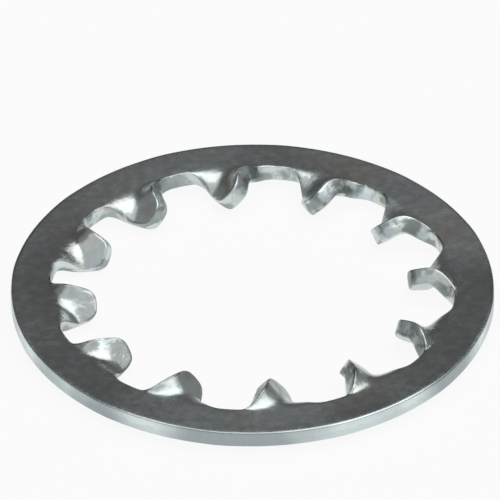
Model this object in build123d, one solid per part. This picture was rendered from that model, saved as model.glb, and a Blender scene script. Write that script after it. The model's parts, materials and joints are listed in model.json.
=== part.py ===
from build123d import *
from math import cos, hypot, isclose, pi, sin, tan
import os

# Internal-tooth lock washer, in millimetres, with +Z up.
# The origin is on the washer's axis, halfway through the ring, and one tooth lies along +X.

# Radial stack, from the hole outwards
hole_diameter = 20.2
tooth_length = 2.95
ring_width = 2.55

# Sheet, and the edges of the rim: rolled over on the punch side, a worn burr on the other
thickness = 1.12
rolled_edge = 0.12
burr_edge = 0.05

# Teeth, in the flat blank
tooth_count = 12
slot_width = 3.1
root_fillet = 1.1
tip_width = 1.68
tip_corner = 0.5
tip_stock = 0.08

# Twist of each tooth about its own length, drawn through evenly spaced stations.
# It starts just inside the chord between the outer ends of the tooth's two fillets.
twist_angle = 46.0
twist_setback = 0.05
twist_length = 1.3
twist_stations = 8

# The most of a tip or a slot that one rounded corner may take, and what counts as the same length
corner_share = 0.45
same_length = 1e-4

hole_radius = hole_diameter / 2
root_radius = hole_radius + tooth_length
rim_radius = root_radius + ring_width
blank_tip = hole_radius - tip_stock
tooth_pitch = 360 / tooth_count


def around(shape):
    """The shape repeated at each tooth."""
    return [Rot(0, 0, tooth_pitch * number) * shape for number in range(tooth_count)]


def corners_at(sketch, radius):
    """The sketch's corners that lie on a circle about the axis."""
    return sketch.vertices().filter_by(lambda v: isclose(hypot(v.X, v.Y), radius, abs_tol=same_length))


def flat_tooth():
    """One tooth of the blank, along +X: straight flanks that spread towards the ring and end inside it."""
    half_base = pi / tooth_count - slot_width / root_radius / 2
    tip = Vector(blank_tip, tip_width / 2)
    base = Vector(root_radius * cos(half_base), root_radius * sin(half_base))
    inside_ring = ring_width / 4
    foot = base + (base - tip).normalized() * inside_ring
    return Polygon((tip.X, -tip.Y), (foot.X, -foot.Y), (foot.X, foot.Y), (tip.X, tip.Y), align=None)


def blank():
    """The flat outline: ring, slots with filleted corners, and teeth with rounded tips."""
    outline = Circle(rim_radius) - Circle(root_radius) + around(flat_tooth())
    outline = fillet(corners_at(outline, root_radius), min(root_fillet, corner_share * slot_width))
    tip_corners = corners_at(outline, hypot(blank_tip, tip_width / 2))
    return fillet(tip_corners, min(tip_corner, corner_share * tip_width))


def half_share(reach):
    """Half of one tooth's share of the circle, along a line across +X at that distance from the axis."""
    return reach * tan(pi / tooth_count)


def tooth_within(outline, reach):
    """The part of the blank's tooth along +X that lies nearer the axis than reach."""
    wedge = Polygon((0, 0), (reach, -half_share(reach)), (reach, half_share(reach)), align=None)
    return (outline & wedge).faces().sort_by(SortBy.AREA)[-1]


def width_at(outline, reach):
    """Width of the blank's tooth along +X at that distance from the axis."""
    across = Line((reach, -half_share(reach)), (reach, half_share(reach)))
    return (outline & across).edges().sort_by(SortBy.LENGTH)[-1].length


def twist_start(outline):
    """Distance from the axis at which the twist starts."""
    return corners_at(outline, root_radius).sort_by(Axis.X)[-1].X - twist_setback


def rim_edges(body):
    """The rim's two edges, the lower one first."""
    circles = body.edges().filter_by(GeomType.CIRCLE)
    return circles.filter_by(lambda e: isclose(e.radius, rim_radius)).group_by(Axis.Z)


def ring(outline):
    """The flat ring with the feet of the teeth, its rim rounded."""
    teeth = around(tooth_within(outline, twist_start(outline)))
    flat = extrude(outline - teeth, thickness / 2, both=True)
    flat = fillet(rim_edges(flat)[-1], rolled_edge)
    return fillet(rim_edges(flat)[0], burr_edge)


def twisted_tooth(outline):
    """One tooth along +X. Seen from the ring towards the axis, its left edge is raised."""
    start = twist_start(outline)
    sections = []
    for station in range(twist_stations + 1):
        share = station / twist_stations
        reach = start - twist_length * share
        turn = twist_angle * share * share * (3 - 2 * share)
        across = Plane(origin=(reach, 0, 0), x_dir=(0, 1, 0), z_dir=(1, 0, 0))
        sections.append(Rot(-turn, 0, 0) * across * Rectangle(width_at(outline, reach), thickness))
    end = tooth_within(outline, start - twist_length)
    return loft(sections) + Rot(-twist_angle, 0, 0) * extrude(end, thickness / 2, both=True)


outline = blank()
bolt_hole = Cylinder(hole_radius, 2 * rim_radius)
lock_washer = ring(outline) + around(twisted_tooth(outline)) - bolt_hole

os.makedirs("parts", exist_ok=True)
export_step(lock_washer, "parts/lock_washer.step")
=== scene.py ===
"""The looks of an internal-tooth lock washer, laid out as an add-on and run as a script."""

import json
import math

import bpy
import numpy as np
from bpy.props import FloatProperty, FloatVectorProperty, PointerProperty
from mathutils import Matrix, Vector


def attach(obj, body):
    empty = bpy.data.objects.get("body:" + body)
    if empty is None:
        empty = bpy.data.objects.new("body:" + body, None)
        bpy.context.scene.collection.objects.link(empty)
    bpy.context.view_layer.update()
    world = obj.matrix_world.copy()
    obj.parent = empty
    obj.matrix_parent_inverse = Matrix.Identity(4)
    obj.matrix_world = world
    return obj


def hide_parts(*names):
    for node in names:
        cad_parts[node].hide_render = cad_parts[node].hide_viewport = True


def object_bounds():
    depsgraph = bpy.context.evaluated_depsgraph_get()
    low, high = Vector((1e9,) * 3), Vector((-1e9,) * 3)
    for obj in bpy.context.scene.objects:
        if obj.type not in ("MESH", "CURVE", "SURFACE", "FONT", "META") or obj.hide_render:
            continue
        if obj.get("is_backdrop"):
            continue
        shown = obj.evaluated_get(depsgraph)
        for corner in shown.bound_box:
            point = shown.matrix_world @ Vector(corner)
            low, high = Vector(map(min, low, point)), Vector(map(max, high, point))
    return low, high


bl_info = {
    "name": "Lock Washer",
    "version": (1, 0, 0),
    "blender": (4, 5, 0),
    "location": "View3D > Sidebar > Lock Washer",
    "description": "Models a twisted-tooth lock washer, its zinc finish and a small studio",
    "category": "Add Mesh",
}

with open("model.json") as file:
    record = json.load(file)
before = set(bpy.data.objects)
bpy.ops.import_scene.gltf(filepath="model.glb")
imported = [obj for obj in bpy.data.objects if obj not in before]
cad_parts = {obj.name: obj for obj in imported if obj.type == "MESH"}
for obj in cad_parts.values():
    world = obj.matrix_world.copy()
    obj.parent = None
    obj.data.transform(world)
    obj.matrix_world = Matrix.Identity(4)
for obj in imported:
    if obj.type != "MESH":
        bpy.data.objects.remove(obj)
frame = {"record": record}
LOWEST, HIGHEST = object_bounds()
MOUNTS = {mount["name"]: mount for mount in frame["record"]["mounts"]}

MM = 0.001
TEETH = 12

# Differences of place and of angle that are rounding, and how close the seams' points are joined
SAME = 1e-6
ANGLE_SAME = 1e-4
JOINED = 1e-5

# The cage that is subdivided: columns in one tooth's share of the ring, of which some are the
# slot's, rows across each part, and strips in the rolled and the burred edges
COLUMNS = 6
SLOT_COLUMNS = 2
RING_ROWS = 4
FILLET_ROWS = 4
FLANK_ROWS = 4
ROLL_SEGMENTS = 2
BURR_SEGMENTS = 1
SUBDIVISIONS = 2

# The cut walls have the second material. The group holds the points of the underside, and the
# attribute says how deep in the cut a point lies.
CUT = 1
UNDERSIDE = "underside"
DEPTH = "cut_depth"

# Distances from the axis between which the finish of the teeth passes into that of the ring, and
# that of the inner walls into the rim's
TEETH_TO_RING = (12.4 * MM, 13.4 * MM)
INSIDE_TO_RIM = (14.6 * MM, 15.2 * MM)

# Most of a noise texture lies between these values
NOISE_RANGE = (0.3, 0.7)

# In the cut walls, as shares of the thickness: how far the line between the sheared and the torn
# part wanders up and down, and how soft it is
TEAR_WANDER = 0.16
TEAR_BLEND = 0.16


class WasherSizes(bpy.types.PropertyGroup):
    """Sizes of the washer"""

    rim: FloatProperty(
        name="Rim radius",
        description="From the axis to the outside of the ring",
        default=HIGHEST.x,
        subtype="DISTANCE",
    )
    tip: FloatProperty(
        name="Tip radius",
        description="From the axis to the tips of the teeth",
        default=MOUNTS["bolt_hole"]["dims"]["r_mm"] * MM,
        subtype="DISTANCE",
    )
    thickness: FloatProperty(
        name="Thickness",
        description="Thickness of the sheet",
        default=2 * MOUNTS["top_face"]["pos_m"][2],
        subtype="DISTANCE",
    )
    ring_width: FloatProperty(
        name="Ring width",
        description="From the rim to the bottoms of the slots",
        default=2.55 * MM,
        subtype="DISTANCE",
    )
    slot_width: FloatProperty(
        name="Slot width",
        description="Width of a slot at its bottom, before its corners are rounded",
        default=3.1 * MM,
        subtype="DISTANCE",
    )
    root_fillet: FloatProperty(
        name="Root fillet",
        description="Radius where a tooth's flank runs into the ring",
        default=1.1 * MM,
        subtype="DISTANCE",
    )
    tip_width: FloatProperty(
        name="Tip width",
        description="Width of a tooth at its tip, before its corners are rounded",
        default=1.68 * MM,
        subtype="DISTANCE",
    )
    tip_corner: FloatProperty(
        name="Tip corner",
        description="Radius of the rounded corners of a tooth's tip",
        default=0.8 * MM,
        subtype="DISTANCE",
    )
    twist: FloatProperty(
        name="Twist",
        description="How far each tooth is turned about its own length",
        default=math.radians(46.8),
        subtype="ANGLE",
    )
    twist_length: FloatProperty(
        name="Twist length",
        description="Length over which a tooth turns, from the bottoms of the slots inwards",
        default=1.64 * MM,
        subtype="DISTANCE",
    )
    rolled_edge: FloatProperty(
        name="Rolled edge",
        description="Width of the rim's upper edge, which the punch drew down",
        default=0.15 * MM,
        subtype="DISTANCE",
    )
    rolled_teeth: FloatProperty(
        name="Rolled teeth",
        description="Width of the upper edges of the teeth and slots, drawn down in the same way",
        default=0.12 * MM,
        subtype="DISTANCE",
    )
    burr_edge: FloatProperty(
        name="Burr edge",
        description="Width of the worn lower edges",
        default=0.08 * MM,
        subtype="DISTANCE",
    )


class Finish(bpy.types.PropertyGroup):
    """Colours and gloss of the zinc"""

    bright: FloatVectorProperty(
        name="Bright zinc",
        description="Cool colour of most of the plating",
        default=(0.70, 0.79, 0.80),
        subtype="COLOR",
    )
    straw: FloatVectorProperty(
        name="Straw zinc",
        description="Warmer colour that the passivation leaves in patches",
        default=(0.74, 0.74, 0.66),
        subtype="COLOR",
    )
    dull: FloatVectorProperty(
        name="Dull zinc",
        description="Colour of the hazy patches",
        default=(0.54, 0.60, 0.61),
        subtype="COLOR",
    )
    strained: FloatVectorProperty(
        name="Strained zinc",
        description="Colour of the stains on the twisted teeth, where the plating is strained",
        default=(0.56, 0.59, 0.56),
        subtype="COLOR",
    )
    sheared: FloatVectorProperty(
        name="Sheared wall",
        description="Colour of the smooth upper part of the cut walls",
        default=(0.72, 0.81, 0.82),
        subtype="COLOR",
    )
    # Painted shade: colour of dark patches on the outer wall, standing in for the shaded floor that the
    # wall mirrors
    painted_rim_shade: FloatVectorProperty(
        name="Rubbed rim",
        description="Colour of the patches on the outer wall that are rubbed dull",
        default=(0.36, 0.41, 0.42),
        subtype="COLOR",
    )
    blotted: FloatVectorProperty(
        name="Blotted wall",
        description="Colour of the small dark blots on the cut walls",
        default=(0.27, 0.31, 0.30),
        subtype="COLOR",
    )
    torn: FloatVectorProperty(
        name="Torn wall",
        description="Colour of the rough lower part of the cut walls",
        default=(0.65, 0.73, 0.74),
        subtype="COLOR",
    )
    sheared_depth: FloatProperty(
        name="Sheared depth",
        description="Share of the thickness over which the cut walls are smooth",
        default=0.4,
        subtype="FACTOR",
    )
    face_roughness: FloatProperty(
        name="Face roughness",
        description="Roughness of the rolled faces where they are brightest",
        default=0.17,
        subtype="FACTOR",
    )
    wall_roughness: FloatProperty(
        name="Wall roughness",
        description="Roughness of the smooth part of the cut walls between its drag marks",
        default=0.28,
        subtype="FACTOR",
    )


class Studio(bpy.types.PropertyGroup):
    """Camera, floor and light"""

    azimuth: FloatProperty(
        name="Azimuth",
        description="Where the camera stands round the washer, 0 looking along +Y",
        default=math.radians(-6.96),
        subtype="ANGLE",
    )
    elevation: FloatProperty(
        name="Elevation",
        description="How far above the horizon the camera stands",
        default=math.radians(36.86),
        subtype="ANGLE",
    )
    tilt: FloatProperty(
        name="Tilt",
        description="How far the camera is turned about its own line of sight",
        default=math.radians(-0.29),
        subtype="ANGLE",
    )
    distance: FloatProperty(
        name="Distance",
        description="From the camera to the middle of the ring's top face",
        default=0.624,
        subtype="DISTANCE",
    )
    focal_pixels: FloatProperty(
        name="Focal length in pixels",
        description="Focal length, measured in pixels of the picture",
        default=9681.0,
    )
    picture_side: FloatProperty(
        name="Picture side",
        description="Width and height of the square picture in pixels",
        default=500.0,
    )
    centre: FloatVectorProperty(
        name="Centre",
        description="Where the middle of the ring's top face falls, in pixels from the upper left",
        default=(252.4, 285.55),
        size=2,
    )
    floor_side: FloatProperty(
        name="Floor",
        description="Side of the square floor",
        default=6.0,
        subtype="DISTANCE",
    )
    floor_colour: FloatVectorProperty(
        name="Floor colour",
        description="Colour of the floor where it isn't paper white",
        default=(0.85, 0.85, 0.85),
        subtype="COLOR",
    )
    floor_seen: FloatProperty(
        name="Floor as seen",
        description="Share of paper white in what the camera sees of the floor",
        default=0.9,
        subtype="FACTOR",
    )
    floor_mirrored: FloatProperty(
        name="Floor as mirrored",
        description="Share of paper white in what the metal mirrors of the floor",
        default=0.8,
        subtype="FACTOR",
    )
    room_light: FloatProperty(
        name="Room light",
        description="Strength of the even light from the room",
        default=0.105,
    )
    room_tint: FloatVectorProperty(
        name="Room tint",
        description="Colour of the even light from the room",
        default=(1.0, 0.92, 0.92),
        subtype="COLOR",
    )
    overhead_light: FloatProperty(
        name="Overhead light",
        description="Strength of the soft light above the washer",
        default=1.12,
    )
    front_light: FloatProperty(
        name="Front light",
        description="Strength of the soft light above and behind the camera",
        default=1.2,
    )
    left_light: FloatProperty(
        name="Left light",
        description="Strength of the low soft light on the left",
        default=0.11,
    )
    right_light: FloatProperty(
        name="Right light",
        description="Strength of the low soft light on the right",
        default=0.06,
    )


def deselect_all():
    """Object mode, with nothing selected."""
    if bpy.context.object and bpy.context.object.mode != "OBJECT":
        bpy.ops.object.mode_set(mode="OBJECT")
    bpy.ops.object.select_all(action="DESELECT")


def select_where(thing, domain, test):
    """Edit mode, with only those vertices, edges or faces selected for which the test holds."""
    bpy.ops.object.mode_set(mode="OBJECT")
    mesh = thing.data
    for elements in (mesh.vertices, mesh.edges, mesh.polygons):
        elements.foreach_set("select", np.zeros(len(elements), bool))
    elements = getattr(mesh, domain)
    elements.foreach_set("select", [bool(test(element)) for element in elements])
    bpy.ops.object.mode_set(mode="EDIT")
    modes = {"vertices": "VERT", "edges": "EDGE", "polygons": "FACE"}
    bpy.ops.mesh.select_mode(type=modes[domain])


def apply_modifier(thing, kind, **settings):
    """Adds a modifier with these settings to the active object and applies it."""
    modifier = thing.modifiers.new(kind.title(), kind)
    for name, value in settings.items():
        setattr(modifier, name, value)
    bpy.ops.object.modifier_apply(modifier=modifier.name)


def angle_of(point):
    """Angle of a point round the washer's axis, 0 on +X."""
    return math.atan2(point.y, point.x)


def tooth_side(sizes):
    """A tooth's side in the blank: its tip, its way out, the way into the slot, its fillet's middle."""
    root = sizes.rim - sizes.ring_width
    half_base = math.pi / TEETH - sizes.slot_width / root / 2
    base = root * Vector((math.cos(half_base), math.sin(half_base)))
    tip = Vector((sizes.tip, sizes.tip_width / 2))
    along = (base - tip).normalized()
    into_slot = Vector((-along.y, along.x))

    # The fillet touches the side and the ring, so its middle is one radius away from both
    beside = tip + into_slot * sizes.root_fillet
    reach = root - sizes.root_fillet
    shift = beside.dot(along)
    run = math.sqrt(shift * shift - beside.length_squared + reach * reach) - shift
    return tip, along, into_slot, beside + along * run


def tooth_rows(sizes):
    """Ends of the tooth's rows from the root inwards, as points of the blank's outline beside +X."""
    tip, along, into_slot, centre = tooth_side(sizes)
    first, last = angle_of(centre), angle_of(along) - math.pi / 2
    rows = []
    for row in range(1, FILLET_ROWS + 1):
        turn = first + (last - first) * row / FILLET_ROWS
        rows.append(centre + sizes.root_fillet * Vector((math.cos(turn), math.sin(turn))))

    # The tip's arc touches the side this far back from the sharp corner
    back = sizes.tip_corner * (1 - along.y) / along.x
    corner = tip + along * back - into_slot * sizes.tip_corner
    flank, flank_end = rows[-1], corner + into_slot * sizes.tip_corner
    rows += [flank.lerp(flank_end, row / FLANK_ROWS) for row in range(1, FLANK_ROWS + 1)]
    halfway = (into_slot + Vector((-1, 0))).normalized()
    rows.append(corner + halfway * sizes.tip_corner)
    return rows


def twist_at(sizes, reach):
    """How far a tooth has turned at that distance from the axis."""
    share = (sizes.rim - sizes.ring_width - reach) / sizes.twist_length
    share = min(max(share, 0), 1)
    return sizes.twist * share * share * (3 - 2 * share)


def grown(radius):
    """Radius of a circle's cage that smoothing brings down to the given radius."""
    return radius * 3 / (2 + math.cos(2 * math.pi / (TEETH * COLUMNS)))


def half_root(sizes):
    """Half of a tooth's root as an angle, from its middle to where its fillets leave the ring."""
    return angle_of(tooth_side(sizes)[-1])


def add_rim_arc(sizes):
    """One tooth's share of the rim, as an arc of edges about +X, its columns spread to the fillets."""
    bpy.ops.mesh.primitive_circle_add(
        vertices=TEETH * COLUMNS, radius=grown(sizes.rim), fill_type="NOTHING", location=(0, 0, 0)
    )
    arc = bpy.context.object
    half_share = math.pi / TEETH
    select_where(arc, "vertices", lambda v: abs(angle_of(v.co)) > half_share + SAME)
    bpy.ops.mesh.delete(type="VERT")

    step = 2 * half_share / COLUMNS
    half_columns = (COLUMNS - SLOT_COLUMNS) // 2
    spread = half_root(sizes) / half_columns - step
    # Without a window, transform.rotate turns the other way
    for column in range(-half_columns, half_columns + 1):
        select_where(arc, "vertices", lambda v: abs(angle_of(v.co) - column * step) < ANGLE_SAME)
        bpy.ops.transform.rotate(
            value=-column * spread, orient_axis="Z", center_override=(0, 0, 0)
        )
    bpy.ops.mesh.select_all(action="SELECT")
    return arc


def draw_ring(sizes):
    """Extrudes the selected arc inwards, row by row, to the bottoms of the slots."""
    for row in range(RING_ROWS):
        now = sizes.rim - sizes.ring_width * row / RING_ROWS
        then = sizes.rim - sizes.ring_width * (row + 1) / RING_ROWS
        bpy.ops.mesh.extrude_region_move()
        bpy.ops.transform.resize(value=(then / now, then / now, 1), center_override=(0, 0, 0))


def draw_tooth(sheet, sizes):
    """Extrudes a tooth from the ring, row by row, each narrower and turned further than the last."""
    root = grown(sizes.rim - sizes.ring_width)
    foot = root + sizes.ring_width / RING_ROWS / 2
    half = half_root(sizes)

    def inside(vertex, reach, angle):
        return vertex.co.length < reach and abs(angle_of(vertex.co)) < angle

    # The middle of the tooth's root moves out by half a row of the ring, to make room for the fillets
    select_where(sheet, "vertices", lambda v: inside(v, root + SAME, half - ANGLE_SAME))
    bpy.ops.transform.resize(value=(foot / root, foot / root, 1), center_override=(0, 0, 0))
    select_where(sheet, "vertices", lambda v: inside(v, foot + SAME, half + ANGLE_SAME))

    # Reach is where a row's middle lies, and crown how much further out its two ends are. The
    # first row's middle is halfway to the second's, and the last one's is on the circle of the tips.
    reach, half_width, crown = foot, root * math.sin(half), root * math.cos(half) - foot
    turned = 0.0
    rows = tooth_rows(sizes)
    for end in rows:
        new_reach = end.length
        if end is rows[0]:
            new_reach = (foot + rows[1].length) / 2
        elif end is rows[-1]:
            new_reach = sizes.tip
        new_crown = end.x - new_reach
        bpy.ops.mesh.extrude_region_move()
        bpy.ops.transform.translate(value=(new_reach - reach, 0, 0))
        narrowing = end.y / half_width
        bpy.ops.transform.resize(
            value=(new_crown / crown, narrowing, narrowing), center_override=(new_reach, 0, 0)
        )
        turn = twist_at(sizes, end.length)
        bpy.ops.transform.rotate(
            value=turn - turned, orient_axis="X", center_override=(0, 0, 0)
        )
        reach, half_width, crown, turned = new_reach, end.y, new_crown, turn


def copy_around(sheet):
    """Repeats the sector for each tooth and joins the seams, with every face upwards."""
    bpy.ops.mesh.select_all(action="SELECT")
    share = 2 * math.pi / TEETH
    bpy.ops.mesh.spin(
        steps=TEETH - 1, dupli=True, angle=share * (TEETH - 1), center=(0, 0, 0), axis=(0, 0, 1)
    )
    bpy.ops.mesh.select_all(action="SELECT")
    bpy.ops.mesh.remove_doubles(threshold=JOINED)
    bpy.ops.mesh.normals_make_consistent(inside=False)
    bpy.ops.object.mode_set(mode="OBJECT")
    if sum(polygon.normal.z for polygon in sheet.data.polygons) < 0:
        bpy.ops.object.mode_set(mode="EDIT")
        bpy.ops.mesh.flip_normals()
        bpy.ops.object.mode_set(mode="OBJECT")


def corner_edges(thing, below, least, most):
    """Keys of the cut walls' edges, above or below, that lie between two distances from the axis."""
    mesh = thing.data
    group = thing.vertex_groups[UNDERSIDE].index
    faces, walls = set(), set()
    for polygon in mesh.polygons:
        (walls if polygon.material_index == CUT else faces).update(polygon.edge_keys)

    def wanted(vertex):
        # A bevel leaves points on the walls with a share of the group, under half on the upper side
        under = any(g.group == group and g.weight > 0.5 for g in vertex.groups)
        return under == below and least < vertex.co.xy.length < most

    return {key for key in faces & walls if wanted(mesh.vertices[key[0]])}


def round_corners(thing, below, width, segments, least=0.0, most=math.inf):
    """Bevels the cut walls' edges, above or below, that lie between two distances from the axis."""
    keys = corner_edges(thing, below, least, most)
    select_where(thing, "edges", lambda e: e.key in keys)
    bpy.ops.mesh.bevel(
        offset=width,
        offset_type="OFFSET",
        segments=segments,
        affect="EDGES",
        clamp_overlap=False,
        material=CUT,
    )
    bpy.ops.object.mode_set(mode="OBJECT")


def store_depth(thing):
    """Keeps how deep in the cut each point lies, from 0 above to 1 below, for the cut's material."""
    group = thing.vertex_groups[UNDERSIDE].index
    mesh = thing.data
    depth = np.zeros(len(mesh.vertices), np.float32)
    for vertex in mesh.vertices:
        for membership in vertex.groups:
            if membership.group == group:
                depth[vertex.index] = membership.weight
    attribute = mesh.attributes.new(DEPTH, "FLOAT", "POINT")
    attribute.data.foreach_set("value", depth)
    thing.vertex_groups.clear()


class LOCKWASHER_OT_washer(bpy.types.Operator):
    """Model the ring and its twisted teeth as one sheet of metal"""

    bl_idname = "lock_washer.washer"
    bl_label = "Washer"

    def execute(self, context):
        sizes = context.scene.washer_sizes
        deselect_all()
        washer = add_rim_arc(sizes)
        washer.name = "washer"
        draw_ring(sizes)
        draw_tooth(washer, sizes)
        copy_around(washer)

        washer.data.materials.append(zinc_face(context.scene.washer_finish))
        washer.data.materials.append(cut_edge(context.scene.washer_finish))
        washer.vertex_groups.new(name=UNDERSIDE)
        apply_modifier(
            washer,
            "SOLIDIFY",
            thickness=sizes.thickness,
            offset=0,
            use_even_offset=True,
            material_offset_rim=CUT,
            shell_vertex_group=UNDERSIDE,
        )
        mid_ring = sizes.rim - sizes.ring_width / 2
        round_corners(washer, False, sizes.rolled_edge, ROLL_SEGMENTS, least=mid_ring)
        round_corners(washer, False, sizes.rolled_teeth, ROLL_SEGMENTS, most=mid_ring)
        round_corners(washer, True, sizes.burr_edge, BURR_SEGMENTS)
        apply_modifier(washer, "SUBSURF", levels=SUBDIVISIONS, render_levels=SUBDIVISIONS)
        store_depth(washer)
        bpy.ops.object.shade_smooth()

        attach(washer, "root")
        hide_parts("lock_washer")
        return {"FINISHED"}


class Recipe:
    """A new material, and the few kinds of node that its finish is made of."""

    def __init__(self, name, metallic):
        self.material = bpy.data.materials.new(name)
        self.material.use_nodes = True
        self.nodes, self.links = self.material.node_tree.nodes, self.material.node_tree.links
        self.shader = self.nodes["Principled BSDF"]
        self.shader.inputs["Metallic"].default_value = metallic
        self.place = self.nodes.new("ShaderNodeTexCoord").outputs["Object"]

    def put(self, socket, value):
        """Sets a socket to a value, or links it to another node's output."""
        if isinstance(value, bpy.types.NodeSocket):
            self.links.new(value, socket)
        elif hasattr(value, "__len__"):
            socket.default_value = (*value, 1)
        else:
            socket.default_value = value

    def noise(self, grain, detail, stretch=(1, 1, 1), offset=(0, 0, 0)):
        """Cloudy noise from 0 to 1, its patches about grain wide. Offsets keep patterns apart."""
        mapping = self.nodes.new("ShaderNodeMapping")
        mapping.inputs["Location"].default_value = offset
        mapping.inputs["Scale"].default_value = stretch
        self.links.new(self.place, mapping.inputs["Vector"])
        texture = self.nodes.new("ShaderNodeTexNoise")
        self.links.new(mapping.outputs["Vector"], texture.inputs["Vector"])
        texture.inputs["Scale"].default_value = 1 / grain
        texture.inputs["Detail"].default_value = detail
        return texture.outputs["Fac"]

    def spread(self, value, low, high, from_low, from_high):
        """A value brought from one range to another, smoothly and with its ends held."""
        node = self.nodes.new("ShaderNodeMapRange")
        node.interpolation_type = "SMOOTHSTEP"
        for name, number in (
            ("Value", value),
            ("From Min", from_low),
            ("From Max", from_high),
            ("To Min", low),
            ("To Max", high),
        ):
            self.put(node.inputs[name], number)
        return node.outputs["Result"]

    def mix(self, share, one, other):
        """A colour between two others."""
        node = self.nodes.new("ShaderNodeMix")
        node.data_type = "RGBA"
        self.put(node.inputs["Factor"], share)
        self.put(node.inputs["A"], one)
        self.put(node.inputs["B"], other)
        return node.outputs["Result"]

    def maths(self, operation, one, other):
        """Two numbers put together."""
        node = self.nodes.new("ShaderNodeMath")
        node.operation = operation
        self.put(node.inputs[0], one)
        self.put(node.inputs[1], other)
        return node.outputs["Value"]

    def radius(self):
        """Distance from the origin, which in a flat ring is that from the axis."""
        node = self.nodes.new("ShaderNodeVectorMath")
        node.operation = "LENGTH"
        self.links.new(self.place, node.inputs[0])
        return node.outputs["Value"]

    def bump(self, height, depth, under=None, strength=1.0):
        """Relief of that depth, on top of another relief."""
        node = self.nodes.new("ShaderNodeBump")
        node.inputs["Distance"].default_value = depth
        self.put(node.inputs["Strength"], strength)
        self.links.new(height, node.inputs["Height"])
        if under:
            self.links.new(under, node.inputs["Normal"])
        return node.outputs["Normal"]


def zinc_face(finish):
    """The rolled faces of the sheet: bright zinc with hazy and straw patches over a faint mill grain."""
    zinc = Recipe("zinc_face", 1.0)
    haze = zinc.noise(3.2 * MM, 2)
    clouds = zinc.spread(zinc.noise(14 * MM, 1, offset=(8.1, 3.9, 0.5)), 0, 1, 0.35, 0.65)
    straw = zinc.spread(zinc.noise(5 * MM, 2, offset=(3, 7, 1)), 0, 0.8, 0.45, 0.68)
    mottle = zinc.noise(0.6 * MM, 3)
    peel = zinc.noise(0.8 * MM, 2, offset=(2, 0, 4))
    grain = zinc.noise(0.09 * MM, 2, stretch=(0.25, 1, 1))
    waves = zinc.noise(4.5 * MM, 1, offset=(1, 2, 5))
    strained = zinc.spread(zinc.radius(), 1, 0, *TEETH_TO_RING)
    stains = zinc.spread(zinc.noise(1.1 * MM, 3, offset=(5, 5, 2)), 0, 0.75, 0.42, 0.62)

    colour = zinc.mix(straw, finish.bright, finish.straw)
    colour = zinc.mix(zinc.spread(haze, 0, 0.7, *NOISE_RANGE), colour, finish.dull)
    colour = zinc.mix(zinc.spread(clouds, 0.6, 0, 0, 1), colour, finish.dull)
    colour = zinc.mix(zinc.spread(mottle, 0, 0.35, 0.35, 0.7), colour, finish.dull)
    colour = zinc.mix(zinc.maths("MULTIPLY", strained, stains), colour, finish.strained)
    zinc.put(zinc.shader.inputs["Base Color"], colour)

    rough = zinc.spread(mottle, finish.face_roughness, finish.face_roughness + 0.06, *NOISE_RANGE)
    rough = zinc.maths("ADD", rough, zinc.spread(haze, 0, 0.06, *NOISE_RANGE))
    rough = zinc.maths("ADD", rough, zinc.maths("MULTIPLY", clouds, 0.09))
    zinc.put(zinc.shader.inputs["Roughness"], rough)

    peeling = zinc.maths("ADD", zinc.maths("MULTIPLY", strained, 0.5), 0.5)
    relief = zinc.bump(waves, 0.03 * MM)
    relief = zinc.bump(peel, 0.05 * MM, relief, strength=peeling)
    relief = zinc.bump(mottle, 0.004 * MM, relief)
    relief = zinc.bump(grain, 0.0008 * MM, relief)
    zinc.put(zinc.shader.inputs["Normal"], relief)
    return zinc.material


def cut_edge(finish):
    """The punched walls: sheared smooth above, torn and rougher below, under the same zinc, with dark
    patches of painted shade on the outer wall.
    """
    wall = Recipe("cut_edge", 1.0)
    depth = wall.nodes.new("ShaderNodeAttribute")
    depth.attribute_name = DEPTH
    ragged = wall.noise(0.5 * MM, 3, stretch=(1, 1, 0.3))
    wander = wall.spread(ragged, -TEAR_WANDER, TEAR_WANDER, 0.25, 0.75)
    deep = wall.maths("ADD", depth.outputs["Fac"], wander)
    torn = wall.spread(deep, 0, 1, finish.sheared_depth, finish.sheared_depth + TEAR_BLEND)
    drag = wall.noise(0.16 * MM, 3, stretch=(1, 1, 0.15))
    pits = wall.noise(0.11 * MM, 4)
    haze = wall.spread(wall.noise(2.2 * MM, 3, offset=(4, 1, 2)), 0, 0.5, 0.4, 0.65)
    blots = wall.spread(wall.noise(1.3 * MM, 3, offset=(1, 8, 3)), 0, 0.95, 0.45, 0.57)
    dents = wall.noise(1 * MM, 2, offset=(8, 1, 6))
    at_rim = wall.spread(wall.radius(), 0, 1, *INSIDE_TO_RIM)
    inside = wall.maths("SUBTRACT", 1, at_rim)
    # Painted shade: patches of the outer wall that are darkened to stand in for the shaded floor that it
    # mirrors
    painted_rim_shade = wall.spread(wall.noise(6 * MM, 2, offset=(7, 3, 0)), 0, 1, 0.38, 0.62)
    straw = wall.spread(wall.noise(1.9 * MM, 2, offset=(6, 2, 9)), 0, 0.8, 0.45, 0.65)
    straw = wall.maths("MULTIPLY", straw, inside)

    colour = wall.mix(torn, finish.sheared, finish.torn)
    colour = wall.mix(straw, colour, finish.straw)
    colour = wall.mix(wall.maths("MULTIPLY", blots, inside), colour, finish.blotted)
    colour = wall.mix(haze, colour, finish.dull)
    # Painted shade on the outer wall, in the patches above
    colour = wall.mix(wall.maths("MULTIPLY", at_rim, painted_rim_shade), colour, finish.painted_rim_shade)
    wall.put(wall.shader.inputs["Base Color"], colour)

    rough = wall.spread(drag, finish.wall_roughness, finish.wall_roughness + 0.1, *NOISE_RANGE)
    rough = wall.maths("ADD", rough, wall.maths("MULTIPLY", torn, 0.06))
    rough = wall.maths("SUBTRACT", rough, wall.maths("MULTIPLY", at_rim, 0.05))
    wall.put(wall.shader.inputs["Roughness"], rough)

    relief = wall.bump(dents, 0.1 * MM, strength=wall.spread(at_rim, 1, 0.15, 0, 1))
    relief = wall.bump(drag, 0.004 * MM, relief)
    relief = wall.bump(wall.maths("MULTIPLY", pits, torn), 0.012 * MM, relief)
    wall.put(wall.shader.inputs["Normal"], relief)
    return wall.material


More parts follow.
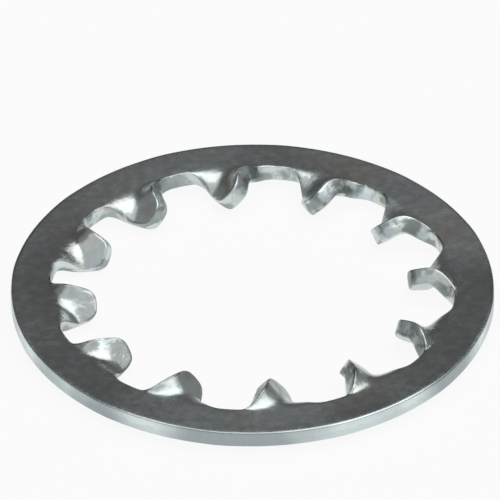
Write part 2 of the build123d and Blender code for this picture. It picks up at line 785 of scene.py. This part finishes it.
class LOCKWASHER_OT_studio(bpy.types.Operator):
    """Set up the pale floor, the light and the camera"""

    bl_idname = "lock_washer.studio"
    bl_label = "Studio"

    def execute(self, context):
        studio = context.scene.washer_studio
        deselect_all()
        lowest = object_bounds()[0]
        bpy.ops.mesh.primitive_plane_add(size=studio.floor_side, location=(0, 0, lowest.z))
        floor = context.object
        floor.name = "floor"
        floor.data.materials.append(pale_floor(studio))
        floor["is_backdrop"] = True

        world = bpy.data.worlds.new("studio")
        world.use_nodes = True
        room = world.node_tree.nodes["Background"]
        room.inputs["Color"].default_value = (*studio.room_tint, 1)
        room.inputs["Strength"].default_value = studio.room_light
        context.scene.world = world

        add_soft_light("overhead", studio.overhead_light, spread=68, azimuth=90, elevation=76)
        add_soft_light("front_fill", studio.front_light, spread=120, azimuth=0, elevation=50)
        add_soft_light("left_fill", studio.left_light, spread=60, azimuth=-95, elevation=32)
        add_soft_light("right_fill", studio.right_light, spread=50, azimuth=108, elevation=22)
        add_camera(context, studio)
        context.scene.view_settings.view_transform = "Standard"
        return {"FINISHED"}


def pale_floor(studio):
    """A pale matt floor that shows almost white and keeps a soft shadow."""
    floor = Recipe("pale_floor", 0.0)
    floor.shader.inputs["Base Color"].default_value = (*studio.floor_colour, 1)
    floor.shader.inputs["Roughness"].default_value = 0.9
    paper = floor.nodes.new("ShaderNodeEmission")
    ray = floor.nodes.new("ShaderNodeLightPath").outputs
    seen = floor.maths("MULTIPLY", ray["Is Camera Ray"], studio.floor_seen)
    mirrored = floor.maths("ADD", ray["Is Glossy Ray"], ray["Is Transmission Ray"])
    mirrored = floor.maths("MULTIPLY", mirrored, studio.floor_mirrored)
    blend = floor.nodes.new("ShaderNodeMixShader")
    floor.put(blend.inputs["Fac"], floor.maths("ADD", seen, mirrored))
    floor.links.new(floor.shader.outputs["BSDF"], blend.inputs[1])
    floor.links.new(paper.outputs["Emission"], blend.inputs[2])
    floor.links.new(blend.outputs["Shader"], floor.nodes["Material Output"].inputs["Surface"])
    return floor.material


def add_soft_light(name, energy, spread, azimuth, elevation):
    """A wide soft source far off: its angles are in degrees, the azimuth as the camera's."""
    data = bpy.data.lights.new(name, "SUN")
    data.energy = energy
    data.angle = math.radians(spread)
    lamp = bpy.data.objects.new(name, data)
    lean = Matrix.Rotation(math.radians(90 - elevation), 4, "X")
    lamp.matrix_world = Matrix.Rotation(math.radians(azimuth), 4, "Z") @ lean
    bpy.context.collection.objects.link(lamp)


def add_camera(context, studio):
    """A long lens at the picture's angle, aimed so that the washer falls where it does there."""
    back = Vector((0, -math.cos(studio.elevation), math.sin(studio.elevation)))
    turn = Matrix.Rotation(studio.azimuth, 3, "Z")
    facing = turn @ back
    right = turn @ Vector((1, 0, 0))
    up = facing.cross(right)
    rolled = Matrix.Rotation(studio.tilt, 3, facing)
    right, up = rolled @ right, rolled @ up
    middle = studio.picture_side / 2
    across = (middle - studio.centre[0]) / studio.focal_pixels * studio.distance
    down = (studio.centre[1] - middle) / studio.focal_pixels * studio.distance
    ring_top = Vector((0, 0, MOUNTS["top_face"]["pos_m"][2]))
    place = ring_top + facing * studio.distance
    aim = ring_top + right * across + up * down
    forward = (aim - place).normalized()
    right = forward.cross(up).normalized()
    up = right.cross(forward)

    data = bpy.data.cameras.new("camera")
    data.lens = studio.focal_pixels / studio.picture_side * data.sensor_width
    camera = bpy.data.objects.new("camera", data)
    camera.matrix_world = Matrix.Translation(place) @ Matrix((right, up, -forward)).transposed().to_4x4()
    context.collection.objects.link(camera)
    context.scene.camera = camera


class LOCKWASHER_PT_panel(bpy.types.Panel):
    """Sizes and steps, in the sidebar of the 3D view"""

    bl_idname = "LOCKWASHER_PT_panel"
    bl_label = "Lock Washer"
    bl_space_type = "VIEW_3D"
    bl_region_type = "UI"
    bl_category = "Lock Washer"

    def draw(self, context):
        scene = context.scene
        for settings in (scene.washer_sizes, scene.washer_finish, scene.washer_studio):
            column = self.layout.column(align=True)
            for name in settings.__annotations__:
                column.prop(settings, name)
        self.layout.operator(LOCKWASHER_OT_washer.bl_idname)
        self.layout.operator(LOCKWASHER_OT_studio.bl_idname)


CLASSES = (
    WasherSizes,
    Finish,
    Studio,
    LOCKWASHER_OT_washer,
    LOCKWASHER_OT_studio,
    LOCKWASHER_PT_panel,
)


def register():
    for cls in CLASSES:
        bpy.utils.register_class(cls)
    bpy.types.Scene.washer_sizes = PointerProperty(type=WasherSizes)
    bpy.types.Scene.washer_finish = PointerProperty(type=Finish)
    bpy.types.Scene.washer_studio = PointerProperty(type=Studio)


def unregister():
    del bpy.types.Scene.washer_studio
    del bpy.types.Scene.washer_finish
    del bpy.types.Scene.washer_sizes
    for cls in reversed(CLASSES):
        bpy.utils.unregister_class(cls)


def main():
    register()
    bpy.ops.lock_washer.washer()
    bpy.ops.lock_washer.studio()


if __name__ == "__main__":
    main()
